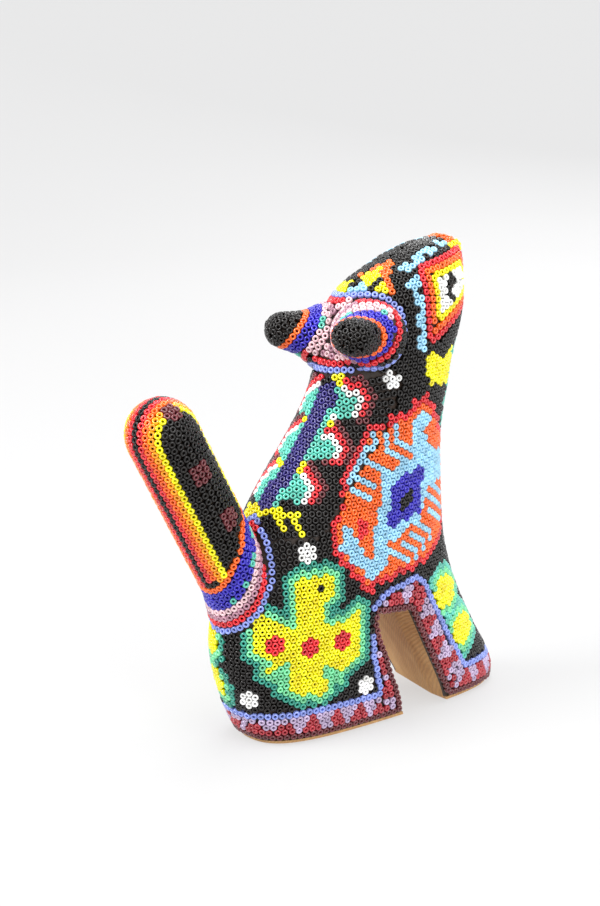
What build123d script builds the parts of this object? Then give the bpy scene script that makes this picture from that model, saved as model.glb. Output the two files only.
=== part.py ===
"""Beaded wooden animal: a carved, howling figure covered with wax and glass seed beads.

It stands on a hind block and a front-leg block, with an arch cut right through between them.
Frame: millimetres, +Z up, the animal faces -Y and its right side is -X.  The origin is on
the ground, in the middle of the figure's length and width.

Every carved form is made three times from the same stations: once as bare wood, once with
the wax spread on it, and once with the beads pressed into the wax.  Subtracting one form
from the next leaves the layer of wax and the layer of beads, and the bead layer is then cut
into the fields that the beadwork is laid out in.
"""
from build123d import *
from math import cos, radians, sin
import os

# ---------------------------------------------------------------- driving dimensions (mm)
BEAD_LAYER = 1.4  # seed beads lie with their holes facing out, so a layer is one bead high
WAX_LAYER = 0.9
WAX_INSET = BEAD_LAYER  # how far the wax lies under the outer surface
WOOD_INSET = BEAD_LAYER + WAX_LAYER  # how far the wood lies under the outer surface
WAX_RIM = 1.0  # bare wood left along the ground, below the wax
LIP_INSET = 0.9  # how far that strip of wood lies under the outer surface
BEAD_RIM = 1.3  # and below the first row of beads
REACH = 120.0  # more than the figure's half length, for cuts that go right through
HEIGHT = 200.0  # more than the figure's height

# The body's stations, from the ground to the muzzle: rear end (y, z), front end (y, z),
# half the width, and how square the oval is (0.55 is an ellipse, 1 nearly a box).
BODY_STATIONS = [
    (27.5, 0.0, -65.5, 0.0, 15.5, 0.78),  # ground line
    (30.0, 4.0, -66.0, 4.0, 16.5, 0.78),  # feet
    (36.0, 18.0, -61.0, 16.0, 17.5, 0.70),  # haunch and instep
    (38.0, 34.0, -51.5, 33.0, 18.0, 0.66),  # rump
    (32.0, 52.0, -45.0, 51.0, 17.5, 0.66),  # tail root and elbow
    (22.5, 70.0, -43.5, 70.0, 16.5, 0.64),  # waist
    (9.0, 87.0, -43.5, 86.0, 15.5, 0.62),  # shoulder
    (0.0, 102.0, -45.5, 97.0, 15.0, 0.62),  # neck
    (-3.0, 115.0, -47.0, 105.0, 15.0, 0.62),  # nape
    (-7.5, 126.0, -49.5, 112.0, 14.5, 0.62),  # crown
    (-19.0, 133.0, -51.0, 119.0, 13.5, 0.62),  # brow
    (-29.5, 137.5, -51.5, 127.0, 11.0, 0.62),  # cheek
    (-39.5, 140.0, -52.0, 133.0, 7.5, 0.62),  # muzzle
    (-45.5, 141.5, -52.5, 137.5, 4.2, 0.62),  # tip of the muzzle
]

# The arch, seen from the side (y, z): a leaning cut with its upper corners eased.
ARCH_REAR_WALL = [(-21.0, -1.0), (-17.5, 7.0), (-11.0, 23.0), (-7.5, 31.5), (-8.0, 35.0)]
ARCH_FRONT_WALL = [(-21.0, 33.5), (-23.0, 30.0), (-39.5, -1.0)]
ARCH_TURN = 5.0  # the front wall runs this far forward between the middle and the left side
ARCH_TURN_FROM = -7.0  # x at which the front wall begins to turn

# The tail: a straight round bar with a domed tip, let into the rump with a turned tenon.
TAIL_ROOT = (0.0, 23.5, 35.5)
TAIL_LEAN = 28.5  # degrees back from upright
TAIL_LENGTH = 78.5  # from the root, which is inside the body, to the tip
TAIL_RADIUS = 10.3
TAIL_FLARE = 3.0  # extra radius where the collar spreads onto the rump
TAIL_FLARE_LENGTH = 19.0
TAIL_COLLAR_END = 30.0  # from the root to the last ring of the collar
TAIL_BAND_HALF_WIDTH = 6.0  # the striped band that runs up the back of the tail and over its tip
TAIL_TENON_RADIUS = 5.0
TAIL_TENON_LENGTH = 16.0

# The ears: blunt cones pointing back and a little outwards, let into the head the same way.
# The right one, at -1, sits a little higher than the left one, at 1.
EAR_ROOTS = {-1: (-4.0, -19.5, 114.5), 1: (4.0, -19.5, 111.0)}
EAR_TIPS = {-1: (-18.2, 6.0, 118.5), 1: (18.2, 6.0, 116.3)}
EAR_STATIONS = [(0.0, 7.5, 8.0), (8.0, 10.5, 9.6), (15.5, 9.6, 8.7), (22.5, 6.9, 5.8)]  # along, half axes
EAR_DOME_TURNS = (35, 60, 78)  # degrees round the domed end at which its ellipses lie
EAR_TIP_FIELD = 18.5  # from the root to the edge of the dark tip
EAR_TENON_RADIUS = 3.2
EAR_TENON_LENGTH = 15.0

# Where one field of beadwork ends and the next begins; outlines are seen from the side (y, z).
BORDER_TOP = 9.6
BEHIND_ARCH = [(-29.5, -5.0), (-14.5, 34.0), (-15.5, 60.0), (REACH, 60.0), (REACH, -5.0)]
ARCH_BORDER = [(-10.0, 9.0), (-6.5, 22.0), (-5.5, 32.0), (-6.0, 37.0), (-9.5, 40.0), (-13.5, 41.5),
               (-24.5, 43.0), (-27.5, 40.0), (-39.0, 20.5), (-46.0, 9.0), (-46.0, -5.0), (-10.0, -5.0)]
SPINE_HALF_WIDTH = 9.0
RUMP_FRONT = 9.5
SPINE_FRONT = -12.5
WAIST_HEIGHT = 62.0
NAPE_HEIGHT = 106.0
CHEST_HALF_WIDTH = 7.0
CHEST_REAR = -36.5
THROAT_HEIGHT = 84.0
JAW_HEIGHT = 104.0
HAUNCH = [(60.0, 5.0), (60.0, 60.0), (9.5, 62.0), (-5.5, 40.0), (-14.5, 25.0), (-14.5, 5.0)]
FRONT_LEG = [(-80.0, 5.0), (-80.0, 50.0), (-24.5, 45.0), (-24.5, 5.0)]
FLANK = [(-80.0, 20.0), (-80.0, 86.0), (-26.5, 103.0), (31.5, 92.0), (31.5, 20.0)]
NECK = [(-80.0, 60.0), (-80.0, 102.0), (-38.5, 104.0), (31.5, 106.0), (31.5, 60.0)]
EAR_BAND = [(-36.5, 90.0), (-34.5, 112.0), (-22.5, 127.0), (-8.5, 140.0), (31.5, 140.0), (31.5, 90.0)]
EYE = [(-80.0, 90.0), (-80.0, 150.0), (-45.5, 137.0), (-41.5, 133.0), (-31.5, 122.0), (-40.5, 105.0)]


# ---------------------------------------------------------------- carved forms
def body_oval(rear_y, rear_z, front_y, front_z, half_width, squareness, inset, sunk=0.0):
    """One station of the body: a closed oval across its chord."""
    chord = Vector(0, front_y - rear_y, front_z - rear_z)
    upward = Vector(0, chord.Z, -chord.Y).normalized()
    middle = Vector(0, (rear_y + front_y) / 2, (rear_z + front_z) / 2) - upward * sunk
    a = chord.length / 2 - inset
    b = half_width - inset
    ends = [(a, 0), (0, b), (-a, 0), (0, -b)]
    with BuildSketch(Plane(origin=middle, x_dir=chord, z_dir=upward)) as oval:
        with BuildLine():
            for (x0, y0), (x1, y1) in zip(ends, ends[1:] + ends[:1]):
                near = (x0 + squareness * x1, y0 + squareness * y1)
                far = (x1 + squareness * x0, y1 + squareness * y0)
                Bezier((x0, y0), near, far, (x1, y1))
        make_face()
    return oval.sketch


def body_form(inset):
    """The whole body without its arch, with its surface moved inward by the inset."""
    ovals = [body_oval(*station, inset) for station in BODY_STATIONS[:-1]]
    ovals.append(body_oval(*BODY_STATIONS[-1], inset, sunk=inset))
    with BuildPart() as form:
        loft(ovals)
    return form.part


def tail_direction():
    """Direction of the tail, from its root to its tip."""
    return Vector(0, sin(radians(TAIL_LEAN)), cos(radians(TAIL_LEAN)))


def tail_form(inset):
    """The tail bar with its domed tip and its flared root."""
    root = Vector(*TAIL_ROOT)
    sideways = Vector(1, 0, 0)
    radius = TAIL_RADIUS - inset
    length = TAIL_LENGTH - inset
    flare_end = (radius, TAIL_FLARE_LENGTH)
    with BuildPart() as form:
        with BuildSketch(Plane(origin=root, x_dir=sideways, z_dir=sideways.cross(tail_direction()))):
            with BuildLine():
                Line((0, 0), (radius + TAIL_FLARE, 0))
                Bezier((radius + TAIL_FLARE, 0), (radius + 0.7 * TAIL_FLARE, 0.5 * TAIL_FLARE_LENGTH),
                       (radius, 0.7 * TAIL_FLARE_LENGTH), flare_end)
                Line(flare_end, (radius, length - radius))
                CenterArc((0, length - radius), radius, 0, 90)
                Line((0, length), (0, 0))
            make_face()
        revolve(axis=Axis(root, tail_direction()))
    return form.part


def ear_ends(side):
    """Root, tip and direction of one ear; side is -1 for the right one and 1 for the left."""
    root, tip = Vector(*EAR_ROOTS[side]), Vector(*EAR_TIPS[side])
    return root, tip, (tip - root).normalized()


def ear_form(side, inset):
    """One ear: ellipses along its axis, closed by a dome of shrinking ellipses."""
    root, tip, axis = ear_ends(side)
    level = axis.cross(Vector(0, 0, 1))
    dome_start, dome_width, dome_height = EAR_STATIONS[-1]
    dome = (tip - root).length - dome_start - inset
    ellipses = [(along, width - inset, height - inset) for along, width, height in EAR_STATIONS]
    for turn in EAR_DOME_TURNS:
        shrink = cos(radians(turn))
        ellipses.append((dome_start + dome * sin(radians(turn)),
                         (dome_width - inset) * shrink, (dome_height - inset) * shrink))
    with BuildPart() as form:
        for along, width, height in ellipses:
            with BuildSketch(Plane(origin=root + axis * along, x_dir=level, z_dir=axis)):
                Ellipse(width, height)
        loft()
    return form.part


# ---------------------------------------------------------------- cutting tools
def side_prism(outline):
    """An outline drawn in the side view (y, z), pushed out past both flanks."""
    with BuildPart() as prism:
        with BuildSketch(Plane.YZ):
            with BuildLine():
                Polyline(*outline, close=True)
            make_face()
        extrude(amount=REACH, both=True)
    return prism.part


def arch_cut():
    """The arch: straight at the rear, and turning forward along the left of its front wall."""
    slope = ARCH_TURN / (BODY_STATIONS[2][4] - ARCH_TURN_FROM)
    with BuildPart() as cut:
        for x in (-REACH / 2, ARCH_TURN_FROM, REACH / 2):
            turn = slope * max(0.0, x - ARCH_TURN_FROM)
            front_wall = [(y - turn, z) for y, z in ARCH_FRONT_WALL]
            with BuildSketch(Plane.YZ.offset(x)):
                with BuildLine():
                    Polyline(*ARCH_REAR_WALL, *front_wall, close=True)
                make_face()
        loft(ruled=True)
    return cut.part


def block(x_range, y_range, z_range):
    """A plain box between two limits along each axis."""
    (x0, x1), (y0, y1), (z0, z1) = x_range, y_range, z_range
    with BuildPart() as box:
        with BuildSketch(Plane.XY.offset(z0)):
            with BuildLine():
                Polyline((x0, y0), (x1, y0), (x1, y1), (x0, y1), close=True)
            make_face()
        extrude(amount=z1 - z0)
    return box.part


def collar(root, axis, start, end, radius):
    """A short cylinder along an axis, used for tenons and for cutting rings of beads."""
    with BuildPart() as cylinder:
        with BuildSketch(Plane(origin=root + axis * start, z_dir=axis)):
            Circle(radius)
        extrude(amount=end - start)
    return cylinder.part


EVERYWHERE = (-REACH, REACH)

# ---------------------------------------------------------------- shared forms
body_wood, body_waxed, body_beaded = (body_form(inset) for inset in (WOOD_INSET, WAX_INSET, 0.0))
tail_wood, tail_waxed, tail_beaded = (tail_form(inset) for inset in (WOOD_INSET, WAX_INSET, 0.0))
ears = {side: [ear_form(side, inset) for inset in (WOOD_INSET, WAX_INSET, 0.0)] for side in (-1, 1)}
side_names = {-1: "right", 1: "left"}
arch = arch_cut()
tail_root = Vector(*TAIL_ROOT)
tail_tenon = collar(tail_root, tail_direction(), 0.0, TAIL_TENON_LENGTH, TAIL_TENON_RADIUS)
ear_tenons = {}
for side in ears:
    ear_root, ear_tip, ear_axis = ear_ends(side)
    ear_tenons[side] = collar(ear_root, ear_axis, 0.0, EAR_TENON_LENGTH, EAR_TENON_RADIUS)


def finish(part, name):
    """Label a finished piece and write it out."""
    part.label = name
    export_step(part, f"parts/{name}.step")
    print(f"{name:28s} {part.volume:10.1f} mm3  {len(part.solids())} solid(s)")


os.makedirs("parts", exist_ok=True)

# ---------------------------------------------------------------- carved wood
with BuildPart() as ground_lip:
    add(body_form(LIP_INSET))
    add(block(EVERYWHERE, EVERYWHERE, (-REACH, WAX_RIM)), mode=Mode.INTERSECT)

with BuildPart() as body_core:
    add(body_wood)
    add(ground_lip.part)
    add(arch, mode=Mode.SUBTRACT)
    add(tail_tenon, mode=Mode.SUBTRACT)
    for side in ears:
        add(ear_tenons[side], mode=Mode.SUBTRACT)
finish(body_core.part, "body_core")

with BuildPart() as tail_core:
    add(tail_wood)
    add(body_wood, mode=Mode.SUBTRACT)
    add(tail_tenon)
finish(tail_core.part, "tail_core")

for side, (ear_wood, ear_waxed, ear_beaded) in ears.items():
    with BuildPart() as ear_core:
        add(ear_wood)
        add(body_wood, mode=Mode.SUBTRACT)
        add(ear_tenons[side])
    finish(ear_core.part, f"ear_core_{side_names[side]}")

# ---------------------------------------------------------------- wax
with BuildPart() as body_wax:
    add(body_waxed)
    add(block(EVERYWHERE, EVERYWHERE, (WAX_RIM, HEIGHT)), mode=Mode.INTERSECT)
    add(body_wood, mode=Mode.SUBTRACT)
    add(arch, mode=Mode.SUBTRACT)
    add(tail_wood, mode=Mode.SUBTRACT)
    for side in ears:
        add(ears[side][0], mode=Mode.SUBTRACT)
finish(body_wax.part, "body_wax")

with BuildPart() as tail_wax:
    add(tail_waxed)
    add(tail_wood, mode=Mode.SUBTRACT)
    add(body_waxed, mode=Mode.SUBTRACT)
finish(tail_wax.part, "tail_wax")

for side, (ear_wood, ear_waxed, ear_beaded) in ears.items():
    with BuildPart() as ear_wax:
        add(ear_waxed)
        add(body_waxed, mode=Mode.SUBTRACT)
        add(ear_wood, mode=Mode.SUBTRACT)
    finish(ear_wax.part, f"ear_wax_{side_names[side]}")


# ---------------------------------------------------------------- beads on the tail
tail_collar = collar(tail_root, tail_direction(), -REACH / 4, TAIL_COLLAR_END, 3 * TAIL_RADIUS)
tail_band = block((-TAIL_BAND_HALF_WIDTH, TAIL_BAND_HALF_WIDTH), EVERYWHERE, (0.0, HEIGHT))
with BuildPart() as tail_beads:
    add(tail_beaded)
    add(tail_waxed, mode=Mode.SUBTRACT)
    add(body_beaded, mode=Mode.SUBTRACT)

with BuildPart() as tail_collar_beads:
    add(tail_beads.part)
    add(tail_collar, mode=Mode.INTERSECT)
finish(tail_collar_beads.part, "tail_collar_beads")

with BuildPart() as tail_bar_beads:
    add(tail_beads.part)
    add(tail_collar, mode=Mode.SUBTRACT)

with BuildPart() as tail_band_beads:
    add(tail_bar_beads.part)
    add(tail_band, mode=Mode.INTERSECT)
finish(tail_band_beads.part, "tail_band_beads")

with BuildPart() as tail_side_beads:
    add(tail_bar_beads.part)
    add(tail_band, mode=Mode.SUBTRACT)
finish(tail_side_beads.part, "tail_side_beads")

# ---------------------------------------------------------------- beads on the ears
for side, (ear_wood, ear_waxed, ear_beaded) in ears.items():
    ear_root, ear_tip, ear_axis = ear_ends(side)
    tip_zone = collar(ear_root, ear_axis, EAR_TIP_FIELD, 3 * EAR_TIP_FIELD, REACH / 4)
    with BuildPart() as ear_beads:
        add(ear_beaded)
        add(body_beaded, mode=Mode.SUBTRACT)
        add(ear_waxed, mode=Mode.SUBTRACT)
    with BuildPart() as ear_tip_beads:
        add(ear_beads.part)
        add(tip_zone, mode=Mode.INTERSECT)
    finish(ear_tip_beads.part, f"ear_tip_beads_{side_names[side]}")
    with BuildPart() as ear_ring_beads:
        add(ear_beads.part)
        add(tip_zone, mode=Mode.SUBTRACT)
    finish(ear_ring_beads.part, f"ear_ring_beads_{side_names[side]}")

# ---------------------------------------------------------------- beads on the body
with BuildPart() as body_beads:
    add(body_beaded)
    add(block(EVERYWHERE, EVERYWHERE, (BEAD_RIM, HEIGHT)), mode=Mode.INTERSECT)
    add(body_waxed, mode=Mode.SUBTRACT)
    add(arch, mode=Mode.SUBTRACT)
    add(tail_waxed, mode=Mode.SUBTRACT)
    for side in ears:
        add(ears[side][1], mode=Mode.SUBTRACT)

# Each field takes its share of the beads that are left, in this order, and the crown the rest.
low = (-REACH, BORDER_TOP)
hind_side = side_prism(BEHIND_ARCH)
border = side_prism(ARCH_BORDER) + block(EVERYWHERE, EVERYWHERE, low)
spine_width = (-SPINE_HALF_WIDTH, SPINE_HALF_WIDTH)
chest_width = (-CHEST_HALF_WIDTH, CHEST_HALF_WIDTH)
right_side = block((-REACH, 0.0), EVERYWHERE, (-REACH, HEIGHT))
left_side = block((0.0, REACH), EVERYWHERE, (-REACH, HEIGHT))
fields = [
    ("hind_border_beads", [border, hind_side]),
    ("front_border_beads", [border]),
    ("rump_beads", [block(spine_width, (RUMP_FRONT, REACH), (0.0, WAIST_HEIGHT))]),
    ("spine_beads", [block(spine_width, (SPINE_FRONT, REACH), (WAIST_HEIGHT, NAPE_HEIGHT))]),
    ("chest_beads", [block(chest_width, (-REACH, CHEST_REAR), (0.0, THROAT_HEIGHT))]),
    ("throat_beads", [block(chest_width, (-REACH, CHEST_REAR), (THROAT_HEIGHT, JAW_HEIGHT))]),
]
for field_name, outline in (("haunch", HAUNCH), ("leg", FRONT_LEG), ("flank", FLANK), ("neck", NECK)):
    fields.append((f"{field_name}_beads_right", [side_prism(outline), right_side]))
    fields.append((f"{field_name}_beads_left", [side_prism(outline), left_side]))
fields.append(("ear_band_beads", [side_prism(EAR_BAND)]))
fields.append(("eye_beads_right", [side_prism(EYE), right_side]))
fields.append(("eye_beads_left", [side_prism(EYE), left_side]))

remaining = body_beads.part
for field_name, zones in fields:
    with BuildPart() as field:
        add(remaining)
        for zone in zones:
            add(zone, mode=Mode.INTERSECT)
    with BuildPart() as rest:
        add(remaining)
        add(field.part, mode=Mode.SUBTRACT)
    remaining = rest.part
    finish(field.part, field_name)
finish(remaining, "crown_beads")
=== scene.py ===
"""The looks of the beaded wooden animal.

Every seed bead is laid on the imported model's bead layer: first the rows that the beadworker
lays along edges, rings and stems, then the fields between them, grown bead by bead.  The
beads settle against each other, take their colours from the motifs, and become small glass
rings pressed into wax.  Lengths in this script are millimetres until the meshes are built.
"""
import math

import bpy
import numpy as np
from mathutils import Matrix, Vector
from mathutils.bvhtree import BVHTree
from mathutils.kdtree import KDTree


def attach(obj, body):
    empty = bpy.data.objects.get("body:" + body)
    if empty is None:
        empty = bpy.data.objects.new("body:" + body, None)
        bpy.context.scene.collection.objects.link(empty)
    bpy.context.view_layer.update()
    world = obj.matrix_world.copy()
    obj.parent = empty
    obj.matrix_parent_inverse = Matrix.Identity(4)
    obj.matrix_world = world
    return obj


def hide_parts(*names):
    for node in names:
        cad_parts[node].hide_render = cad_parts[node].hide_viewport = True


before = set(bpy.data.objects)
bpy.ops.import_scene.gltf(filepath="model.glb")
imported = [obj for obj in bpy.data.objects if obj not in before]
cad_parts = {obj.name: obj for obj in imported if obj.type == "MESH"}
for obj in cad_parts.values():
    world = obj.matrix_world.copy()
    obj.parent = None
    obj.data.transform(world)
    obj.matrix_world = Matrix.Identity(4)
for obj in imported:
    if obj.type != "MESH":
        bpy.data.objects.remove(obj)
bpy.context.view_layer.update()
rng = np.random.default_rng(11)

# ---------------------------------------------------------------- driving values (mm)
MM = 0.001
PITCH = 2.13  # from bead to bead along a row
ROW = PITCH * math.sqrt(3) / 2  # from row to row
BEAD_RADIUS = 1.05
HOLE_RADIUS = 0.36
BEAD_HEIGHT = 1.4
BEAD_LAYER = 1.4
UNDERSIDE = 0.35  # faces nearer to the wax than this share of the layer are its underside
RIM_HEIGHT = 1.3  # the bead layer starts this far above the ground
RIM_ROOM = 0.9  # the fields' beads stay this far from the rim
SNUG = 0.84  # beads in rows may come as close as this share of the pitch before they settle
BORDER_ROWS = 4  # rows between the rim row and the fields, the last of them the pale blue line
SIDES = (-1, 1)  # right, left

BEAD_NODES = [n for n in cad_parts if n.endswith("_beads") or "_beads_" in n]
WAX_NODES = ["body_wax", "tail_wax", "ear_wax_right", "ear_wax_left"]

# The tail and the ears, as in the CAD: root, direction and radius.
TAIL_ROOT = np.array((0.0, 23.5, 35.5))
TAIL_LEAN = math.radians(28.5)
TAIL_AXIS = np.array((0.0, math.sin(TAIL_LEAN), math.cos(TAIL_LEAN)))
TAIL_RADIUS = 10.3
TAIL_TWIST = math.radians(8)  # the striped band sits this far round towards the right side
COLLAR_TOP = 28.5  # along the tail's axis, where the collar's orange ring crosses it
COLLAR_LEAN = 0.87  # the ring leans with the rump: it lies lower behind the tail than before it
EAR_ROOTS = {-1: (-4.0, -19.5, 114.5), 1: (4.0, -19.5, 111.0)}  # the right one, then the left one
EAR_TIPS = {-1: (-18.2, 6.0, 118.5), 1: (18.2, 6.0, 116.3)}
EAR_DARK_ENDS = {-1: -7.4, 1: -8.6}  # where the dark tips end, measured back from the tips
EAR_RING_TILTS = {-1: (-0.4, -0.22, 0.0), 1: (0.0, 0.0, 0.55)}  # how the rings lean from square
# The arch, and the pale blue line that closes the border, seen from the side (y, z).
ARCH = [(-21.0, -1.0), (-17.5, 7.0), (-11.0, 23.0), (-7.5, 31.5), (-8.0, 35.0), (-21.0, 33.5), (-23.0, 30.0),
        (-39.5, -1.0)]
BORDER_LINE = [(-10.0, 9.0), (-6.5, 22.0), (-5.5, 32.0), (-6.0, 37.0), (-9.5, 40.0), (-13.5, 41.5),
               (-24.5, 43.0), (-27.5, 40.0), (-39.0, 20.5), (-46.0, 9.0), (-46.0, -20.0), (-10.0, -20.0)]


# ---------------------------------------------------------------- small geometry
def unit(v):
    return v / max(np.linalg.norm(v), 1e-9)


def smooth_min(a, b, width=1.5):
    """The smaller of two distances, with the corner between them rounded."""
    blend = max(width - abs(a - b), 0.0) / width
    return min(a, b) - blend * blend * width / 4


def outline_distance(outline, u, v):
    """Signed distance from a point to a closed outline, positive inside."""
    inside, best = False, 1e9
    u0, v0 = outline[-1]
    for u1, v1 in outline:
        du, dv = u1 - u0, v1 - v0
        t = min(max(((u - u0) * du + (v - v0) * dv) / (du * du + dv * dv), 0.0), 1.0)
        best = min(best, math.hypot(u - u0 - t * du, v - v0 - t * dv))
        if (v0 > v) != (v1 > v) and u < (u1 - u0) * (v - v0) / (v1 - v0) + u0:
            inside = not inside
        u0, v0 = u1, v1
    return best if inside else -best


# ---------------------------------------------------------------- the surface the beads lie in
class Skin:
    """The outer surface of the bead layer, welded from the CAD's fields of beads."""

    def __init__(self):
        wax = [self._tree(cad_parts[name]) for name in WAX_NODES]
        index, points, triangles, owners = {}, [], [], []
        for number, name in enumerate(BEAD_NODES):
            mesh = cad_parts[name].data
            coords = np.empty(len(mesh.vertices) * 3)
            mesh.vertices.foreach_get("co", coords)
            coords = coords.reshape(-1, 3) / MM
            mesh.calc_loop_triangles()
            corners = np.empty(len(mesh.loop_triangles) * 3, dtype=np.int64)
            mesh.loop_triangles.foreach_get("vertices", corners)
            corners = corners.reshape(-1, 3)
            a, b, c = (coords[corners[:, k]] for k in range(3))
            normals = np.cross(b - a, c - a)
            areas = np.linalg.norm(normals, axis=1)
            centres = (a + b + c) / 3
            for t in np.nonzero(areas > 1e-7)[0]:
                centre = Vector(centres[t])
                near = min((tree.find_nearest(centre) for tree in wax), key=lambda hit: hit[3])
                gap = centres[t] - np.array(near[0])
                if near[3] < UNDERSIDE * BEAD_LAYER or gap @ normals[t] < 0.75 * near[3] * areas[t]:
                    continue
                triangle = []
                for corner in corners[t]:
                    key = tuple(np.round(coords[corner], 2))
                    if key not in index:
                        index[key] = len(points)
                        points.append(coords[corner])
                    triangle.append(index[key])
                if len(set(triangle)) == 3:
                    triangles.append(triangle)
                    owners.append(number)
        self.points = np.array(points)
        self.triangles = np.array(triangles)
        self.owners = owners
        a, b, c = (self.points[self.triangles[:, k]] for k in range(3))
        weighted = np.cross(b - a, c - a)
        self.normals = np.zeros_like(self.points)
        for k in range(3):
            np.add.at(self.normals, self.triangles[:, k], weighted)
        self.normals /= np.linalg.norm(self.normals, axis=1)[:, None].clip(1e-9)
        self.tree = BVHTree.FromPolygons([tuple(p) for p in self.points], [tuple(t) for t in triangles])

    @staticmethod
    def _tree(obj):
        verts = [tuple(v.co / MM) for v in obj.data.vertices]
        return BVHTree.FromPolygons(verts, [tuple(p.vertices) for p in obj.data.polygons])

    def near(self, p):
        """The nearest point on the skin, its face normal, its face and its distance."""
        hit = self.tree.find_nearest(Vector(p))
        return np.array(hit[0]), np.array(hit[1]), hit[2], hit[3]

    def smooth_normal(self, p, face):
        """The normal at a point of a face, blended from its corners."""
        i, j, k = self.triangles[face]
        a, b, c = self.points[i], self.points[j], self.points[k]
        n = np.cross(b - a, c - a)
        area = n @ n
        wa = (np.cross(c - b, p - b) @ n) / area
        wb = (np.cross(a - c, p - c) @ n) / area
        return unit(wa * self.normals[i] + wb * self.normals[j] + (1 - wa - wb) * self.normals[k])


skin = Skin()


# ---------------------------------------------------------------- laying beads
class Beads:
    """All beads laid so far, with a grid that finds neighbours quickly."""

    def __init__(self):
        self.at, self.normal, self.along, self.face = [], [], [], []
        self.row, self.grip = [], []
        self.grid = {}

    def __len__(self):
        return len(self.at)

    @staticmethod
    def _cell(p):
        return tuple(int(math.floor(c / PITCH)) for c in p)

    def clearance(self, p):
        """Distance from a point to the nearest bead, up to about one pitch."""
        best = 9.0
        i, j, k = self._cell(p)
        for di in (-1, 0, 1):
            for dj in (-1, 0, 1):
                for dk in (-1, 0, 1):
                    for n in self.grid.get((i + di, j + dj, k + dk), ()):
                        q = self.at[n]
                        d = (q[0] - p[0]) ** 2 + (q[1] - p[1]) ** 2 + (q[2] - p[2]) ** 2
                        if d < best:
                            best = d
        return math.sqrt(best)

    def lay(self, p, normal, along, face, row=None, grip=1.0):
        """Add a bead; a grip below 1 makes it give way less than its neighbours."""
        number = len(self.at)
        self.at.append(p)
        self.normal.append(normal)
        self.along.append(unit(along - normal * (along @ normal)))
        self.face.append(face)
        self.row.append(row)
        self.grip.append(grip)
        self.grid.setdefault(self._cell(p), []).append(number)
        return number


beads = Beads()


def tree_of(points):
    """A tree that finds the nearest of many points."""
    tree = KDTree(len(points))
    for number, p in enumerate(points):
        tree.insert(p, number)
    tree.balance()
    return tree


def lengths_along(points):
    """How far along a line each of its points is."""
    return np.concatenate([[0.0], np.cumsum(np.linalg.norm(np.diff(points, axis=0), axis=1))])


def turned(number, angle):
    """A direction in the skin at a bead, turned by an angle from the way its row runs."""
    along = beads.along[number]
    return along * math.cos(angle) + np.cross(beads.normal[number], along) * math.sin(angle)


def trace(field, level, start, inside=lambda p: True, step=0.6, longest=700.0):
    """Walk along the skin where a field keeps one level; returns points and whether it closed."""

    def settle(p):
        for _ in range(4):
            p, n, face, far = skin.near(p)
            side = unit(np.cross(n, (0.3, 0.5, 0.8)))
            other = np.cross(n, side)
            value = field(p)
            slope = (side * (field(p + 0.2 * side) - value) / 0.2
                     + other * (field(p + 0.2 * other) - value) / 0.2)
            size = slope @ slope
            if size < 1e-4:
                return None
            p = p + slope * min(max((level - value) / size, -1.0), 1.0)
        q, n, face, far = skin.near(p)
        if far > 0.5 or abs(field(q) - level) > 0.35:
            return None
        return q, n, slope

    first = settle(np.array(start, dtype=float))
    if first is None or not inside(first[0]):
        return [], False
    halves = []
    for way in (1, -1):
        p, n, slope = first
        heading = unit(np.cross(n, slope)) * way
        line = []
        travelled = 0.0
        while travelled < longest:
            here = settle(p + heading * step)
            if here is None or not inside(here[0]) or np.linalg.norm(here[0] - p) < 0.15 * step:
                break
            q, n, slope = here
            ahead = np.cross(n, slope)
            heading = unit(unit(q - p) + unit(ahead) * way * (1 if ahead @ heading * way > 0 else -1))
            p = q
            line.append(p)
            travelled += step
            if travelled > 6 * step and np.linalg.norm(p - first[0]) < 0.8 * step:
                return [first[0]] + line, True
        halves.append(line)
    return halves[1][::-1] + [first[0]] + halves[0], False


def lay_row(line, closed, row, grip, keep):
    """Lay beads one pitch apart along a traced line, leaving out those that would overlap."""
    if len(line) < 2:
        return
    points = np.array(line + line[:1] if closed else line)
    lengths = lengths_along(points)
    count = max(int(round(lengths[-1] / PITCH)), 1)
    for k in range(count if closed else count + 1):
        s = k * lengths[-1] / count
        if s > lengths[-1]:  # rounding can carry the last place past the line's end
            break
        p = np.array([np.interp(s, lengths, points[:, c]) for c in range(3)])
        ahead = np.array([np.interp(min(s + 0.5, lengths[-1]), lengths, points[:, c]) for c in range(3)])
        behind = np.array([np.interp(max(s - 0.5, 0.0), lengths, points[:, c]) for c in range(3)])
        q, n, face, far = skin.near(p)
        if keep(q) and beads.clearance(q) > SNUG * PITCH:
            beads.lay(q, n, ahead - behind, face, row, grip)


def grow(seeds, keep=lambda p: True, tight=0.9):
    """Grow fields outward from the seeds, or from every bead laid so far when there are no seeds, oldest beads
    first.
    """
    queue = list(range(len(beads))) if seeds is None else []
    for p, along in seeds or ():
        q, n, face, far = skin.near(p)
        if beads.clearance(q) > tight * PITCH:
            queue.append(beads.lay(q, n, np.array(along, dtype=float), face))
    head = 0
    while head < len(queue):
        number = queue[head]
        head += 1
        p, along = beads.at[number], beads.along[number]
        for turn in range(6):
            q, m, face, far = skin.near(p + turned(number, turn * math.pi / 3) * PITCH)
            gap = q - p
            reach = np.linalg.norm(gap)
            if reach < 0.8 * PITCH:
                continue
            if reach < 0.99 * PITCH:
                q, m, face, far = skin.near(p + gap * (PITCH / reach))
            if (np.linalg.norm(q - p) < tight * PITCH or not keep(q) or rim_distance(q) < RIM_ROOM
                    or beads.clearance(q) < tight * PITCH):
                continue
            queue.append(beads.lay(q, m, along, face))


def neighbours(reach):
    """For every bead, its neighbours within a reach."""
    tree = tree_of(beads.at)
    return [[(j, d) for _, j, d in tree.find_range(p, reach) if j != i] for i, p in enumerate(beads.at)]


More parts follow.
